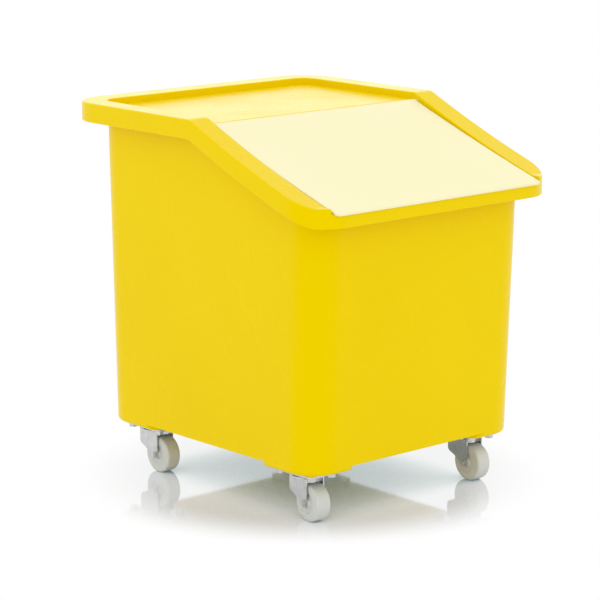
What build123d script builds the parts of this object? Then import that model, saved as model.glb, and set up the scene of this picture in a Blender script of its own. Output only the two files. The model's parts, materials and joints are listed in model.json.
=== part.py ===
from build123d import *
import math
import os

os.makedirs("parts", exist_ok=True)

# Tub: outline of the rim in plan, and heights above the floor
rim_width = 570.0
rim_depth = 657.0
rim_top_z = 666.0
rim_front_z = 551.0
rim_face = 34.0
rim_corner_r = 72.0
rim_edge_r = 3.0
rim_low_edge_r = 2.0
kink_y = -12.0
rim_front_flat = 23.5
slope_sag = 4.4
kink_r = 25.0

# Tub: body under the rim, with the draft of each wall in degrees
rim_over_side = 34.4
rim_over_front = 34.4
rim_over_rear = 41.3
draft_side = 0.59
draft_front = 1.88
draft_rear = 0.92
body_corner_r = 56.0
wall = 5.0

# Tub: recessed top, which holds the deck and the lid
rim_side_band = 44.0
recess_rear_band = 44.0
recess_corner_r = 30.0
deck_recess = 12.0
deck_edge_r = 5.0
rim_inner_edge_r = 2.0
mouth_ledge = 22.0
mouth_front_ledge = 56.0
mouth_corner_r = 24.0

# Tub: underside with its four corner pads and the seats for the caster plates
pad_step = 8.5
pad_end_x = 18.5
pad_end_y = 15.5
pad_corner_r = 30.0
pad_past = 1.0
bottom_edge_r = 6.0
seat_drop = 5.5
insert_boss_r = 10.0
insert_boss_cap = 5.0

# Lid: a curved sheet with a barrel at its rear edge
lid_thickness = 4.0
lid_side_gap = 3.0
lid_overhang = 3.0
lid_sag = 2.5
lid_front_drop = 123.7
lid_rear_y = -18.0
lid_corner_r = 9.0
lid_edge_r = 1.2
lid_seat_gap = 0.3
barrel_r = 5.0
barrel_gap = 1.0

# Lid hinge: rod, bushes and the bosses that hold them
rod_r = 3.0
running_gap = 0.05
bush_r = 5.0
bush_depth = 14.0
bush_end = 2.0
bush_flange_step = 0.7
bush_flange = 1.5
hinge_boss_r = 10.0

# Casters: places and headings, where a heading is the way that the wheel trails
caster_inset_x = 96.0
caster_inset_y = 125.5
caster_mid_y = 1.0
heading_deg = {"front_left": -97.0, "front_right": -93.0, "rear_left": -91.0, "rear_right": -88.0}

# Casters: wheel
wheel_r = 32.5
wheel_width = 28.0
wheel_edge_r = 4.0
web_recess_r = 18.5
web_slope = 2.0
web_recess = 2.0
hub_r = 6.5
hub_gap = 0.3
trail = 21.0
sleeve_r = 4.5

# Casters: fork
sheet = 2.5
leg_gap = 32.2
crown_gap = 8.5
crown_drop = 9.0
crown_r = 24.5
leg_rear = 23.3
leg_front = 5.0
leg_end_r = 7.5
shoulder_rise = 15.5
shoulder_u = -8.0
shoulder_low_rise = 9.5
shoulder_r = 9.0
leg_corner_r = 3.0
bend_r = 2.0

# Casters: top plate, swivel bearing and king pin
plate_length = 95.0
plate_width = 67.0
plate_corner_r = 8.0
plate_sheet = 3.0
dish_r = 21.0
dish_drop = 2.2
skirt_r = 24.0
skirt_drop = 3.8
king_r = 5.0
king_head_r = 8.5
king_head = 1.8
king_nut_across = 21.0
king_nut = 7.0
race_in_r = 12.0
race_out_r = 20.0
race_seam = 1.0
axial_gap = 0.3

# Fasteners
bolt_r = 4.0
bolt_hole_gap = 0.5
bolt_head_across = 13.0
bolt_head = 5.3
bolt_grip = 17.0
bolt_pattern_x = 45.0
bolt_pattern_y = 76.0
washer_r = 8.0
washer = 1.6
insert_r = 6.5
insert_length = 16.0
axle_r = 3.0
axle_head_r = 4.5
axle_head = 3.2
axle_head_edge_r = 1.5
axle_nut_across = 10.0
axle_nut = 5.0
axle_end = 1.5

# Worked out: the tub stands so that rim and lid overhang lie evenly about the origin
mid_y = lid_overhang / 2
front_y = mid_y - rim_depth / 2
rear_y = mid_y + rim_depth / 2
half_width = rim_width / 2
recess_half_width = half_width - rim_side_band
slope_end_y = front_y + rim_front_flat - mid_y
deck_z = rim_top_z - deck_recess
crown_z = 2 * wheel_r + crown_gap + sheet
caster_height = crown_z + crown_drop
pad_z = caster_height + seat_drop
body_top_z = rim_top_z - rim_face
recess_rear_y = rear_y - recess_rear_band
caster_x = half_width - caster_inset_x
caster_y = rim_depth / 2 - caster_inset_y
pad_inner_x = caster_x - plate_width / 2 - pad_end_x
pad_inner_y = caster_y - plate_length / 2 - pad_end_y
far = rim_width + rim_depth
past = 10.0
near = 0.01


def profile_arc(start, end, sag):
    """Shallow arc in the side view between two points of a slope that rises to the rear."""
    rise_y = abs(end[0] - start[0])
    rise_z = abs(end[1] - start[1])
    chord = math.hypot(rise_y, rise_z)
    middle_y = (start[0] + end[0] + 2 * sag * rise_z / chord) / 2
    middle_z = (start[1] + end[1] - 2 * sag * rise_y / chord) / 2
    return ThreePointArc(start, (middle_y, middle_z), end)


def side_face(edges):
    """Face in the side view, with Y to the right and Z up."""
    return Plane.YZ * make_face(edges)


def across(face, half):
    """Solid made by drawing a side view face out to half on each side."""
    return extrude(face, amount=half, both=True)


def rounded_block(x_size, y_low, y_high, z_low, z_high, radius):
    """Upright block with rounded corners in plan."""
    plan = RectangleRounded(x_size, y_high - y_low, radius)
    return Pos(0, (y_low + y_high) / 2, z_low) * extrude(plan, amount=z_high - z_low)


def rim_line(drop, reach):
    """Side view outline of all that lies under the rim's top line lowered by drop."""
    rear_point = (rear_y + reach, rim_top_z - drop)
    kink = (mid_y + kink_y, rim_top_z - drop)
    slope_end = (mid_y + slope_end_y, rim_front_z - drop)
    front_point = (front_y - reach, rim_front_z - drop)
    return rear_point, kink, slope_end, front_point


def rim_band(inset):
    """Rim as a solid band that follows the side profile, taken in by inset on all sides."""
    rear_top, kink_top, slope_top, front_top = rim_line(inset, past)
    rear_low, kink_low, slope_low, front_low = rim_line(rim_face - inset, past)
    outline = [
        Line(rear_top, kink_top),
        profile_arc(kink_top, slope_top, slope_sag),
        Line(slope_top, front_top),
        Line(front_top, front_low),
        Line(front_low, slope_low),
        profile_arc(slope_low, kink_low, slope_sag),
        Line(kink_low, rear_low),
        Line(rear_low, rear_top),
    ]
    profile = make_face(outline)
    bends = [v for v in profile.vertices() if abs(v.X) < abs(slope_end_y) + wall]
    profile = fillet(bends, kink_r)
    plan = rounded_block(
        rim_width - 2 * inset, front_y + inset, rear_y - inset, 0, rim_top_z + past, rim_corner_r - inset
    )
    return plan & across(Plane.YZ * profile, rim_width)


def body_sides(z, inset):
    """Half width, front and rear of the drafted body at height z, taken in by inset."""
    fall = body_top_z - z
    half = half_width - rim_over_side - fall * math.tan(math.radians(draft_side)) - inset
    low_y = front_y + rim_over_front + fall * math.tan(math.radians(draft_front)) + inset
    high_y = rear_y - rim_over_rear - fall * math.tan(math.radians(draft_rear)) - inset
    return half, low_y, high_y


def body_block(inset, low_z):
    """Drafted body from low_z up to the middle of the rim, taken in by inset."""
    faces = []
    for z in (low_z, rim_top_z):
        half, low_y, high_y = body_sides(z, inset)
        plan = RectangleRounded(2 * half, high_y - low_y, body_corner_r - inset)
        faces.append(Pos(0, (low_y + high_y) / 2, z) * plan)
    rear_point, kink, slope_end, front_point = rim_line(rim_face / 2, far)
    under_rim = [
        Line(rear_point, kink),
        profile_arc(kink, slope_end, slope_sag),
        Line(slope_end, front_point),
        Line(front_point, (front_point[0], 0)),
        Line((front_point[0], 0), (rear_point[0], 0)),
        Line((rear_point[0], 0), rear_point),
    ]
    return loft(faces) & across(side_face(under_rim), rim_width)


def between_pads(inset):
    """Space between the four corner pads, which are taken in by inset."""
    half, low_y, high_y = body_sides(pad_z, inset - pad_past)
    x_size = half - pad_inner_x - inset
    space = Rectangle(2 * rim_width, 2 * rim_depth)
    spans = ((low_y, mid_y - pad_inner_y - inset), (mid_y + pad_inner_y + inset, high_y))
    for start, end in spans:
        for side in (-1, 1):
            pad = RectangleRounded(x_size, end - start, pad_corner_r - inset)
            space -= Pos(side * (half - x_size / 2), (start + end) / 2) * pad
    return Pos(0, 0, pad_z + inset) * extrude(space, amount=pad_step)


# Lid line in the side view: its top runs from the deck's edge to just past the rim's front
lid_rear = (mid_y + lid_rear_y, deck_z)
lid_front = (front_y - lid_overhang, rim_top_z - lid_front_drop)
lid_run = lid_rear[0] - lid_front[0]
lid_fall = lid_rear[1] - lid_front[1]
lid_chord = math.hypot(lid_run, lid_fall)
lid_arc_r = lid_chord**2 / (8 * lid_sag) + lid_sag / 2
lid_mid = (
    (lid_rear[0] + lid_front[0]) / 2 + lid_sag * lid_fall / lid_chord,
    (lid_rear[1] + lid_front[1]) / 2 - lid_sag * lid_run / lid_chord,
)
lid_centre = (
    lid_mid[0] - lid_arc_r * lid_fall / lid_chord,
    lid_mid[1] + lid_arc_r * lid_run / lid_chord,
)


def lid_point(y, depth):
    """Point of the lid's curved line at y, depth below its top face."""
    radius = lid_arc_r + depth
    return (y, lid_centre[1] - math.sqrt(radius**2 - (y - lid_centre[0]) ** 2))


def lid_line(y_start, y_end, depth):
    """The lid's curved line between two places, depth below its top face."""
    return ThreePointArc(
        lid_point(y_start, depth), lid_point((y_start + y_end) / 2, depth), lid_point(y_end, depth)
    )


# Hinge axis: the barrel's crown touches the line of the lid's top face
rear_lean = math.asin((lid_rear[0] - lid_centre[0]) / lid_arc_r)
hinge_y = lid_rear[0] + barrel_r * math.sin(rear_lean)
hinge_z = lid_rear[1] - barrel_r * math.cos(rear_lean)
deck_front_y = hinge_y + barrel_r + barrel_gap


def recess_face(depth):
    """Side view of the space over the deck and under the lid's seat, depth below them."""
    top = rim_top_z + 2 * past
    deck_end = deck_front_y - depth
    floor_start = hinge_y - barrel_r - barrel_gap + depth
    floor_end = front_y - 2 * past
    seat = lid_thickness + lid_seat_gap + depth
    groove_z = hinge_z - barrel_r - barrel_gap - depth
    outline = [
        Line((rear_y, top), (rear_y, deck_z - depth)),
        Line((rear_y, deck_z - depth), (deck_end, deck_z - depth)),
        Line((deck_end, deck_z - depth), (deck_end, groove_z)),
        Line((deck_end, groove_z), (floor_start, groove_z)),
        Line((floor_start, groove_z), lid_point(floor_start, seat)),
        lid_line(floor_start, floor_end, seat),
        Line(lid_point(floor_end, seat), (floor_end, top)),
        Line((floor_end, top), (rear_y, top)),
    ]
    face = make_face(outline)
    if depth == 0:
        edge = [v for v in face.vertices() if abs(v.X - deck_end) < near and abs(v.Y - deck_z) < near]
        face = fillet(edge, deck_edge_r)
    return Plane.YZ * face


def recess_block(depth):
    """Recess between the side bands of the rim, grown by depth on all sides."""
    plan = rounded_block(
        2 * (recess_half_width + depth),
        front_y - far,
        recess_rear_y + depth,
        0,
        rim_top_z + 3 * past,
        recess_corner_r + depth,
    )
    return plan & across(recess_face(depth), half_width)


def is_upright(edge):
    """True for an edge that stands along Z."""
    start = edge @ 0
    end = edge @ 1
    return abs(start.X - end.X) < near and abs(start.Y - end.Y) < near


def on_outline(edge):
    """True for an edge that follows the rim's outer wall, and not for a seam across it."""
    middle = edge @ 0.5
    seam = abs(middle.X) < near and front_y + near < middle.Y < rear_y - near
    return not is_upright(edge) and not seam


def on_recess_brim(edge):
    """True for an edge where the recess between the side bands meets the rim's top face."""
    middle = edge @ 0.5
    inside = abs(middle.X) < recess_half_width + near and middle.Y < recess_rear_y + near
    on_top = abs(middle.Z - rim_height(middle.Y)) < rim_inner_edge_r
    on_deck = abs(middle.Z - deck_z) < near or abs(middle.X) < recess_half_width - recess_corner_r
    return inside and on_top and not is_upright(edge) and not (on_deck and middle.Y < recess_rear_y - near)


def rim_height(y):
    """Height of the rim's top line at y, without the rounding of its bends."""
    share = min(max((y - mid_y - kink_y) / (slope_end_y - kink_y), 0), 1)
    return rim_top_z + share * (rim_front_z - rim_top_z) - 4 * slope_sag * share * (1 - share)


def corner_places():
    """Name and place of each caster's swivel axis."""
    places = {}
    for name in heading_deg:
        side = -1 if "left" in name else 1
        end = -1 if "front" in name else 1
        places[name] = (side * caster_x, mid_y + caster_mid_y + end * caster_y)
    return places


def bolt_places():
    """Places of a plate's four bolts about its swivel axis."""
    return [(i * bolt_pattern_x / 2, j * bolt_pattern_y / 2) for i in (-1, 1) for j in (-1, 1)]


# Tub
def make_tub():
    rim = rim_band(0)
    lower = [e for e in rim.edges() if on_outline(e) and (e @ 0.5).Z < rim_height((e @ 0.5).Y) - rim_face / 2]
    rim = fillet(lower, rim_low_edge_r)
    upper = [e for e in rim.edges() if on_outline(e) and (e @ 0.5).Z > rim_height((e @ 0.5).Y) - rim_face / 2]
    rim = fillet(upper, rim_edge_r)
    body = body_block(0, pad_z)
    foot = [e for e in body.edges() if abs((e @ 0.5).Z - pad_z) < near and abs((e @ 0).Z - pad_z) < near]
    body = fillet(foot, bottom_edge_r)
    body -= between_pads(0)
    cavity = body_block(wall, pad_z + wall)
    cavity -= between_pads(wall)
    for x, y in corner_places().values():
        seat = RectangleRounded(plate_width, plate_length, plate_corner_r)
        body += Pos(x, y, caster_height) * extrude(seat, amount=seat_drop + wall / 2)
        for i, j in bolt_places():
            boss_top = caster_height + insert_length + insert_boss_cap
            cavity -= Pos(x + i, y + j, boss_top / 2) * Cylinder(insert_boss_r, boss_top)
    cavity += rim_band(wall)
    recess = recess_block(0)
    cavity -= recess_block(wall)
    boss_out = recess_half_width + bush_depth + wall
    for side in (-1, 1):
        x = side * (recess_half_width + boss_out) / 2
        boss = Cylinder(hinge_boss_r, boss_out - recess_half_width, rotation=(0, 90, 0))
        cavity -= Pos(x, hinge_y, hinge_z) * boss
    tub = body + rim
    tub -= recess
    tub = fillet([e for e in tub.edges() if on_recess_brim(e)], rim_inner_edge_r)
    tub -= cavity
    mouth_front = front_y + mouth_front_ledge
    mouth = rounded_block(
        2 * (recess_half_width - mouth_ledge),
        mouth_front,
        hinge_y + barrel_r + barrel_gap + mouth_corner_r,
        rim_front_z - 2 * rim_face,
        rim_top_z,
        mouth_corner_r,
    )
    mouth &= Pos(0, deck_front_y - far / 2, rim_top_z / 2) * Box(far, far, rim_top_z)
    tub -= mouth
    for side in (-1, 1):
        bore = Cylinder(bush_r, bush_depth, rotation=(0, 90, 0))
        tub -= Pos(side * (recess_half_width + bush_depth / 2), hinge_y, hinge_z) * bore
    for x, y in corner_places().values():
        for i, j in bolt_places():
            tub -= Pos(x + i, y + j, caster_height + insert_length / 2) * Cylinder(insert_r, insert_length)
    return tub


# Lid
def make_lid():
    half = recess_half_width - lid_side_gap
    outline = [
        lid_line(hinge_y, lid_front[0], 0),
        Line(lid_point(lid_front[0], 0), lid_point(lid_front[0], lid_thickness)),
        lid_line(lid_front[0], hinge_y, lid_thickness),
        Line(lid_point(hinge_y, lid_thickness), lid_point(hinge_y, 0)),
    ]
    plate = across(side_face(outline), half)
    corners = [
        e
        for e in plate.edges()
        if e.length < 2 * lid_thickness and (e @ 0.5).Y < lid_front[0] + lid_corner_r
    ]
    plate = fillet(corners, lid_corner_r)
    free = [e for e in plate.edges() if (e @ 0.5).Y < hinge_y - barrel_r and e.length > 2 * lid_thickness]
    plate = fillet(free, lid_edge_r)
    barrel = Pos(0, hinge_y, hinge_z) * Cylinder(barrel_r, 2 * half, rotation=(0, 90, 0))
    bore = Pos(0, hinge_y, hinge_z) * Cylinder(rod_r + running_gap, 4 * half, rotation=(0, 90, 0))
    return plate + barrel - bore


# Lid hinge
def make_rod():
    length = 2 * (recess_half_width + bush_depth - bush_end)
    return Pos(0, hinge_y, hinge_z) * Cylinder(rod_r, length, rotation=(0, 90, 0))


def make_bush(side):
    profile = [
        (rod_r, -bush_flange),
        (bush_r + bush_flange_step, -bush_flange),
        (bush_r + bush_flange_step, 0),
        (bush_r, 0),
        (bush_r, bush_depth),
        (0, bush_depth),
        (0, bush_depth - bush_end),
        (rod_r, bush_depth - bush_end),
    ]
    ring = revolve(Plane.XZ * make_face(Polyline(*profile, close=True)), Axis.Z)
    return Pos(side * recess_half_width, hinge_y, hinge_z) * Rot(0, side * 90, 0) * ring


def turned(points):
    """Round piece about Z from a closed outline of radius and height."""
    return revolve(Plane.XZ * make_face(Polyline(*points, close=True)), Axis.Z)


def hexagon(across_flats, height):
    """Upright hexagonal prism on the XY plane."""
    return extrude(RegularPolygon(across_flats / 2, 6, major_radius=False), amount=height)


# Caster pieces, built about the swivel axis, with the wheel trailing along +X and the floor at 0
def make_top_plate():
    top = caster_height
    low = top - plate_sheet
    plan = RectangleRounded(plate_width, plate_length, plate_corner_r)
    plate = Pos(0, 0, low) * extrude(plan, amount=plate_sheet)
    plate -= Pos(0, 0, top) * Cylinder(dish_r - plate_sheet, 2 * plate_sheet)
    dish = [
        (king_r, top - dish_drop - plate_sheet),
        (dish_r, top - dish_drop - plate_sheet),
        (dish_r, top - skirt_drop - plate_sheet),
        (skirt_r, top - skirt_drop - plate_sheet),
        (skirt_r, low),
        (dish_r - plate_sheet, low),
        (dish_r - plate_sheet, top - dish_drop),
        (king_r, top - dish_drop),
    ]
    plate += turned(dish)
    for x, y in bolt_places():
        plate -= Pos(x, y, low) * Cylinder(bolt_r + bolt_hole_gap, 4 * plate_sheet)
    return plate


def make_king_pin():
    seat = caster_height - dish_drop
    low = crown_z - sheet - axial_gap
    nut = Pos(0, 0, low - king_nut) * hexagon(king_nut_across, king_nut)
    shank = Pos(0, 0, low) * extrude(Circle(king_r), amount=seat - low)
    head = Pos(0, 0, seat) * extrude(Circle(king_head_r), amount=king_head)
    return nut + shank + head


def make_race():
    high = caster_height - dish_drop - plate_sheet - axial_gap
    middle = (crown_z + high) / 2
    return turned(
        [
            (race_in_r, crown_z),
            (race_out_r, crown_z),
            (race_out_r, middle - race_seam),
            (race_out_r - race_seam, middle),
            (race_out_r, middle + race_seam),
            (race_out_r, high),
            (race_in_r, high),
        ]
    )


def make_fork():
    leg_out = leg_gap / 2 + sheet
    leg_high = trail + leg_front
    crown = Pos(0, 0, crown_z - sheet) * extrude(Circle(crown_r), amount=sheet)
    saddle = Rectangle(leg_rear + leg_high, 2 * leg_out)
    crown += Pos((leg_high - leg_rear) / 2, 0, crown_z - sheet) * extrude(saddle, amount=sheet)
    crown -= Pos(0, 0, crown_z) * Cylinder(king_r + running_gap, 4 * sheet)
    outline = Polyline(
        (-leg_rear, crown_z),
        (-leg_rear, wheel_r + shoulder_rise),
        (shoulder_u, wheel_r + shoulder_low_rise),
        (trail - leg_end_r, wheel_r - leg_end_r / 2),
        (trail, wheel_r - leg_end_r),
        (leg_high, wheel_r - leg_end_r),
        (leg_high, crown_z),
        close=True,
    )
    side = make_face(outline)
    side = fillet([v for v in side.vertices() if v.Y < wheel_r], leg_corner_r)
    shoulder = [v for v in side.vertices() if abs(v.Y - wheel_r - shoulder_rise) < near]
    side = fillet(shoulder, shoulder_r)
    leg = extrude(Plane.XZ * side, amount=sheet)
    legs = Pos(0, leg_out, 0) * leg + Pos(0, -leg_gap / 2, 0) * leg
    hole = Pos(trail, 0, wheel_r) * Cylinder(axle_r + running_gap, far, rotation=(90, 0, 0))
    fork = crown + legs - hole
    bends = [
        e
        for e in fork.edges()
        if abs((e @ 0.5).Z - crown_z) < near and abs(abs((e @ 0.5).Y) - leg_out) < near and e.length > sheet
    ]
    return fillet(bends, bend_r)


def on_axle(solid):
    """Turns a round piece built about Z onto the axle, which lies along Y."""
    return Pos(trail, 0, wheel_r) * Rot(-90, 0, 0) * solid


def make_wheel():
    half = wheel_width / 2
    hub_half = leg_gap / 2 - hub_gap
    bore = sleeve_r + running_gap
    side = [
        (bore, hub_half),
        (hub_r, hub_half),
        (hub_r + web_slope, half - web_recess),
        (web_recess_r - web_slope, half - web_recess),
        (web_recess_r, half),
        (wheel_r, half),
        (wheel_r, -half),
        (web_recess_r, -half),
        (web_recess_r - web_slope, -half + web_recess),
        (hub_r + web_slope, -half + web_recess),
        (hub_r, -hub_half),
        (bore, -hub_half),
    ]
    face = make_face(Polyline(*side, close=True))
    face = fillet([v for v in face.vertices() if abs(v.X - wheel_r) < near], wheel_edge_r)
    return on_axle(revolve(Plane.XZ * face, Axis.Z))


def make_sleeve():
    ring = Cylinder(sleeve_r, leg_gap) - Cylinder(axle_r + running_gap, leg_gap)
    return on_axle(ring)


def make_axle_bolt():
    out = leg_gap / 2 + sheet
    length = 2 * out + axle_nut + axle_end
    shank = Pos(0, 0, -out - axle_nut - axle_end) * extrude(Circle(axle_r), amount=length)
    head = extrude(Circle(axle_head_r), amount=axle_head)
    head = fillet(head.edges().group_by(Axis.Z)[-1], axle_head_edge_r)
    return on_axle(shank + Pos(0, 0, out) * head)


def make_axle_nut():
    out = leg_gap / 2 + sheet
    nut = Pos(0, 0, -out - axle_nut) * hexagon(axle_nut_across, axle_nut)
    return on_axle(nut - Pos(0, 0, -out) * Cylinder(axle_r + running_gap, 4 * axle_nut))


# Plate fasteners, which stay square with the tub
def make_bolts():
    low = caster_height - plate_sheet - washer
    bolt = Pos(0, 0, low - bolt_head) * hexagon(bolt_head_across, bolt_head)
    bolt += Pos(0, 0, low) * extrude(Circle(bolt_r), amount=bolt_grip)
    return [Pos(x, y, 0) * bolt for x, y in bolt_places()]


def make_washers():
    low = caster_height - plate_sheet - washer
    ring = Circle(washer_r) - Circle(bolt_r + running_gap)
    return [Pos(x, y, low) * extrude(ring, amount=washer) for x, y in bolt_places()]


def make_inserts():
    ring = Circle(insert_r) - Circle(bolt_r + running_gap)
    return [Pos(x, y, caster_height) * extrude(ring, amount=insert_length) for x, y in bolt_places()]


def save(name, shape):
    """Writes one node."""
    export_step(shape, f"parts/{name}.step")


def group(solids):
    """Separate solids that share one node."""
    return Compound(children=[s.solid() for s in solids])


save("tub", make_tub())
save("lid", make_lid())
save("hinge_rod", make_rod())
save("hinge_bush_left", make_bush(-1))
save("hinge_bush_right", make_bush(1))

swivel_pieces = {
    "swivel_bearing": make_race(),
    "fork": make_fork(),
    "wheel": make_wheel(),
    "axle_sleeve": make_sleeve(),
    "axle_bolt": make_axle_bolt(),
    "axle_nut": make_axle_nut(),
}
fixed_pieces = {"top_plate": make_top_plate(), "king_pin": make_king_pin()}
washers = []
inserts = []
for corner, (corner_x, corner_y) in corner_places().items():
    place = Pos(corner_x, corner_y, 0)
    for piece, solid in fixed_pieces.items():
        save(f"{piece}_{corner}", place * solid)
    for piece, solid in swivel_pieces.items():
        save(f"{piece}_{corner}", place * Rot(0, 0, heading_deg[corner]) * solid)
    save(f"plate_bolts_{corner}", group([place * s for s in make_bolts()]))
    washers += [place * s for s in make_washers()]
    inserts += [place * s for s in make_inserts()]
save("plate_washers", group(washers))
save("caster_inserts", group(inserts))
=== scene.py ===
import bpy
import json
import math
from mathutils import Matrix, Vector

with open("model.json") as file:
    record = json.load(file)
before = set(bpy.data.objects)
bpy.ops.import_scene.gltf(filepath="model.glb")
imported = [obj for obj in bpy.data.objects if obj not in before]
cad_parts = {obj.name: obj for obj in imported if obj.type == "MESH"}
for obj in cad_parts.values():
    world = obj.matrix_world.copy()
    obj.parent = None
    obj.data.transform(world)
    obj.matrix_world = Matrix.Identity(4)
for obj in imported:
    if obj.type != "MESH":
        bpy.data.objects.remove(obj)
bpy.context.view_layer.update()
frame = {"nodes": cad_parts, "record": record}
nodes = frame["nodes"]
scene = bpy.context.scene

# Noise: scale, detail and roughness; the values that it mostly takes; heights in metres
cloud_noise = (3.0, 3.0, 0.5)
gloss_noise = (11.0, 3.0, 0.5)
blotch_noise = (90.0, 4.0, 0.6)
metal_gloss_noise = (160.0, 3.0, 0.5)
metal_grain_noise = (900.0, 3.0, 0.5)
fine_noise = (700.0, 4.0, 0.6)
finer_noise = (900.0, 4.0, 0.6)
noise_span = (0.3, 0.7)
grain_height = 0.0004
metal_grain_height = 0.0001

# Plastics and metals by material slot
plastics = {
    "yellow_plastic": dict(
        name="yellow_polyethylene",
        dark=(0.86, 0.63, 0.0, 1),
        light=(0.88, 0.65, 0.0, 1),
        rough=(0.24, 0.30),
        gloss=0.18,
        gloss_tint=(1.0, 0.7, 0.0, 1),
        grain=0.01,
        grain_noise=fine_noise,
    ),
    "cream_sheet": dict(
        name="natural_polyethylene",
        dark=(0.90, 0.84, 0.49, 1),
        light=(0.92, 0.86, 0.52, 1),
        rough=(0.30, 0.38),
        gloss=0.5,
        gloss_tint=(1.0, 1.0, 1.0, 1),
        grain=0.05,
        grain_noise=fine_noise,
    ),
    "wheel_nylon": dict(
        name="wheel_nylon",
        dark=(0.60, 0.625, 0.595, 1),
        light=(0.65, 0.675, 0.645, 1),
        rough=(0.40, 0.50),
        gloss=0.5,
        gloss_tint=(1.0, 1.0, 1.0, 1),
        grain=0.10,
        grain_noise=finer_noise,
    ),
    "bush_plastic": dict(
        name="bush_nylon",
        dark=(0.74, 0.72, 0.64, 1),
        light=(0.78, 0.76, 0.68, 1),
        rough=(0.40, 0.50),
        gloss=0.5,
        gloss_tint=(1.0, 1.0, 1.0, 1),
        grain=0.05,
        grain_noise=finer_noise,
    ),
}
metals = {
    "plated_steel": dict(
        name="zinc_plate",
        dark=(0.56, 0.57, 0.57, 1),
        light=(0.68, 0.68, 0.67, 1),
        rough=(0.28, 0.40),
        grain=0.15,
    ),
    "steel_rod": dict(
        name="drawn_rod",
        dark=(0.50, 0.50, 0.49, 1),
        light=(0.58, 0.58, 0.57, 1),
        rough=(0.22, 0.32),
        grain=0.10,
    ),
    "brass_insert": dict(
        name="brass",
        dark=(0.62, 0.45, 0.18, 1),
        light=(0.68, 0.50, 0.21, 1),
        rough=(0.25, 0.35),
        grain=0.10,
    ),
}

# Floor: its painted shadow, an emission by how much of the sky is covered, its gloss, and its fade to
# white
floor_size = 60
floor_paint = (0.90, 0.90, 0.90, 1)
shade_samples = 16
shade_reach = 0.30
# painted shadow colours on the floor, by how much of the sky is left open
shade_stops = (
    (0.10, (0.13, 0.20, 0.21, 1)),
    (0.20, (0.36, 0.43, 0.42, 1)),
    (0.30, (0.65, 0.70, 0.69, 1)),
    (0.42, (0.78, 0.80, 0.80, 1)),
    (0.80, (0.80, 0.79, 0.78, 1)),
    (1.00, (0.91, 0.91, 0.90, 1)),
)
gloss_part = 0.35
gloss_colour = (0.68, 0.69, 0.68, 1)
gloss_rough = 0.06
fade_radius = (0.28, 0.44)

# Light: watts, and metres for places, aims and sizes
world_colour = (1, 1, 1, 1)
world_strength = 1.065
lamps = {
    "front_light": dict(place=(-2.6, -2.9, 2.2), aim=(0, 0, 0.3), size=(3.0, 3.0), power=2),
    "rear_light": dict(place=(2.3, 2.6, 1.45), aim=(0, 0, 0.65), size=(3.6, 1.4), power=9),
}

# Camera: where it looks from, as angles and a distance from its target
azimuth = math.radians(-41.64)
elevation = math.radians(12.13)
distance = 4.4741
target = Vector((-0.0236, 0.0015, 0.3195))
lens_mm = 152.13
sensor_mm = 36


def new_material(name):
    """Empty node material; returns it with its node tree."""
    material = bpy.data.materials.new(name)
    material.use_nodes = True
    material.node_tree.nodes.clear()
    return material, material.node_tree


def add_node(tree, kind, **values):
    """Adds a node and sets its plain properties, and its sockets by name after s_."""
    node = tree.nodes.new(kind)
    for key, value in values.items():
        if key.startswith("s_"):
            node.inputs[key[2:].replace("_", " ")].default_value = value
        else:
            setattr(node, key, value)
    return node


def noise(tree, scale, detail, roughness):
    """Noise over object space, in the part's own metres."""
    place = add_node(tree, "ShaderNodeTexCoord")
    texture = add_node(tree, "ShaderNodeTexNoise", s_Scale=scale, s_Detail=detail, s_Roughness=roughness)
    tree.links.new(place.outputs["Object"], texture.inputs["Vector"])
    return texture.outputs["Fac"]


def map_range(tree, value, source, result, curve="LINEAR"):
    """Maps a value from one range onto another, clamped at its ends."""
    mapped = add_node(tree, "ShaderNodeMapRange", interpolation_type=curve)
    for socket, number in zip(mapped.inputs[1:5], (*source, *result)):
        socket.default_value = number
    tree.links.new(value, mapped.inputs["Value"])
    return mapped.outputs["Result"]


def tint(tree, value, dark, light):
    """Colour between dark and light by a noise value."""
    mix = add_node(tree, "ShaderNodeMix", data_type="RGBA")
    colours = [socket for socket in mix.inputs if socket.type == "RGBA"]
    colours[0].default_value = dark
    colours[1].default_value = light
    tree.links.new(map_range(tree, value, noise_span, (0, 1)), mix.inputs["Factor"])
    return next(socket for socket in mix.outputs if socket.type == "RGBA")


def bumped(tree, value, strength, height):
    """Bump from a noise value."""
    bump = add_node(tree, "ShaderNodeBump", s_Strength=strength, s_Distance=height)
    tree.links.new(value, bump.inputs["Height"])
    return bump.outputs["Normal"]


def mix_shaders(tree, share, first, second):
    """Mix of two shaders, by a number or by another node's value."""
    mix = add_node(tree, "ShaderNodeMixShader")
    if isinstance(share, float):
        mix.inputs["Fac"].default_value = share
    else:
        tree.links.new(share, mix.inputs["Fac"])
    tree.links.new(first, mix.inputs[1])
    tree.links.new(second, mix.inputs[2])
    return mix.outputs["Shader"]


def finished(tree, shader, colour, rough, normal):
    """Links a shader's colour, roughness and normal, and the shader to an output."""
    output = add_node(tree, "ShaderNodeOutputMaterial")
    tree.links.new(colour, shader.inputs["Base Color"])
    tree.links.new(rough, shader.inputs["Roughness"])
    tree.links.new(normal, shader.inputs["Normal"])
    tree.links.new(shader.outputs["BSDF"], output.inputs["Surface"])


def plastic(name, dark, light, rough, gloss, gloss_tint, grain, grain_noise):
    """Moulded plastic: slow changes of colour and gloss, and a fine grain."""
    material, tree = new_material(name)
    kind = "ShaderNodeBsdfPrincipled"
    shader = add_node(tree, kind, s_Specular_IOR_Level=gloss, s_Specular_Tint=gloss_tint)
    colour = tint(tree, noise(tree, *cloud_noise), dark, light)
    roughness = map_range(tree, noise(tree, *gloss_noise), noise_span, rough)
    normal = bumped(tree, noise(tree, *grain_noise), grain, grain_height)
    finished(tree, shader, colour, roughness, normal)
    return material


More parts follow.
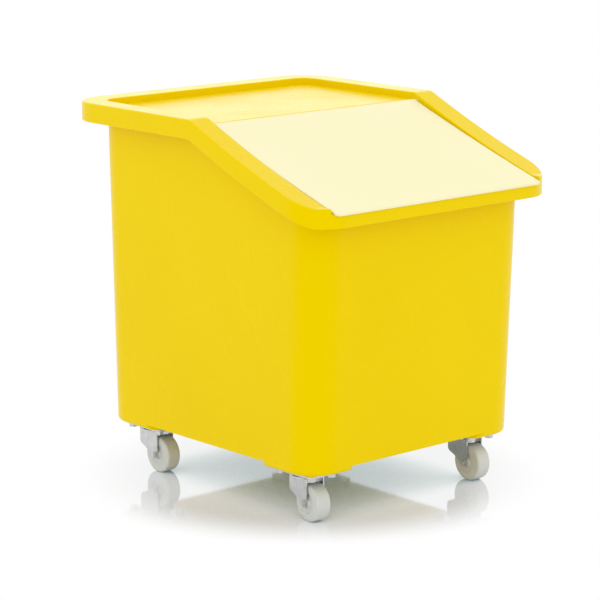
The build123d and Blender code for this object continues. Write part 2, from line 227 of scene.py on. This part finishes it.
def metal(name, dark, light, rough, grain):
    """Plated or drawn metal: faint blotches and a fine grain."""
    material, tree = new_material(name)
    shader = add_node(tree, "ShaderNodeBsdfPrincipled", s_Metallic=1)
    colour = tint(tree, noise(tree, *blotch_noise), dark, light)
    roughness = map_range(tree, noise(tree, *metal_gloss_noise), noise_span, rough)
    normal = bumped(tree, noise(tree, *metal_grain_noise), grain, metal_grain_height)
    finished(tree, shader, colour, roughness, normal)
    return material


def floor_shade(tree):
    """Painted shadow: emission that darkens where the object covers the sky."""
    occlusion = add_node(
        tree, "ShaderNodeAmbientOcclusion", samples=shade_samples, s_Distance=shade_reach
    )
    shade = add_node(tree, "ShaderNodeValToRGB")
    stops = shade.color_ramp.elements
    stops.remove(stops[1])
    stops[0].position, stops[0].color = shade_stops[0]
    for position, colour in shade_stops[1:]:
        stops.new(position).color = colour
    shaded = add_node(tree, "ShaderNodeEmission")
    tree.links.new(occlusion.outputs["AO"], shade.inputs["Fac"])
    tree.links.new(shade.outputs["Color"], shaded.inputs["Color"])
    return shaded.outputs["Emission"]


def seen_straight(tree):
    """1 on rays that show the floor itself, straight, in a gloss or through glass."""
    path = add_node(tree, "ShaderNodeLightPath")
    straight = path.outputs["Is Camera Ray"]
    for ray in ("Is Glossy Ray", "Is Transmission Ray"):
        wider = add_node(tree, "ShaderNodeMath", operation="MAXIMUM")
        tree.links.new(straight, wider.inputs[0])
        tree.links.new(path.outputs[ray], wider.inputs[1])
        straight = wider.outputs["Value"]
    return straight


def pale_floor():
    """Floor seen as white, with painted shadow and gloss near the middle; other rays meet plain paint.
    """
    material, tree = new_material("pale_floor")
    gloss = add_node(tree, "ShaderNodeBsdfGlossy", s_Roughness=gloss_rough, s_Color=gloss_colour)
    near = mix_shaders(tree, gloss_part, floor_shade(tree), gloss.outputs["BSDF"])
    place = add_node(tree, "ShaderNodeTexCoord")
    radius = add_node(tree, "ShaderNodeVectorMath", operation="LENGTH")
    tree.links.new(place.outputs["Object"], radius.inputs[0])
    fade = map_range(tree, radius.outputs["Value"], fade_radius, (0, 1), "SMOOTHSTEP")
    white = add_node(tree, "ShaderNodeEmission")
    seen = mix_shaders(tree, fade, near, white.outputs["Emission"])
    paint = add_node(tree, "ShaderNodeBsdfDiffuse", s_Color=floor_paint)
    either = mix_shaders(tree, seen_straight(tree), paint.outputs["BSDF"], seen)
    output = add_node(tree, "ShaderNodeOutputMaterial")
    tree.links.new(either, output.inputs["Surface"])
    return material


def area_light(name, place, aim, size, power):
    """Soft rectangular light aimed at a point."""
    data = bpy.data.lights.new(name, "AREA")
    data.shape = "RECTANGLE"
    data.size, data.size_y = size
    data.energy = power
    lamp = bpy.data.objects.new(name, data)
    scene.collection.objects.link(lamp)
    lamp.location = place
    lamp.rotation_euler = (Vector(aim) - Vector(place)).to_track_quat("-Z", "Y").to_euler()
    lamp.visible_camera = False


# Materials
by_slot = {slot: plastic(**look) for slot, look in plastics.items()}
by_slot.update((slot, metal(**look)) for slot, look in metals.items())
slots = {row["node"]: row["material_slot"] for row in frame["record"]["subparts"]}
for name, obj in nodes.items():
    obj.data.materials.clear()
    obj.data.materials.append(by_slot[slots[name]])

# Floor
bpy.ops.mesh.primitive_plane_add(size=floor_size)
floor = bpy.context.object
floor.name = "floor"
floor.data.materials.append(pale_floor())

# World and lamps
world = bpy.data.worlds.new("studio")
scene.world = world
world.use_nodes = True
background = world.node_tree.nodes["Background"]
background.inputs["Color"].default_value = world_colour
background.inputs["Strength"].default_value = world_strength
for name, lamp in lamps.items():
    area_light(name, **lamp)

# Camera
back = Vector(
    (
        math.sin(azimuth) * math.cos(elevation),
        -math.cos(azimuth) * math.cos(elevation),
        math.sin(elevation),
    )
)
camera_data = bpy.data.cameras.new("camera")
camera_data.sensor_width = sensor_mm
camera_data.lens = lens_mm
camera = bpy.data.objects.new("camera", camera_data)
scene.collection.objects.link(camera)
camera.location = target + back * distance
camera.rotation_euler = (-back).to_track_quat("-Z", "Y").to_euler()
scene.camera = camera
scene.view_settings.view_transform = "Standard"
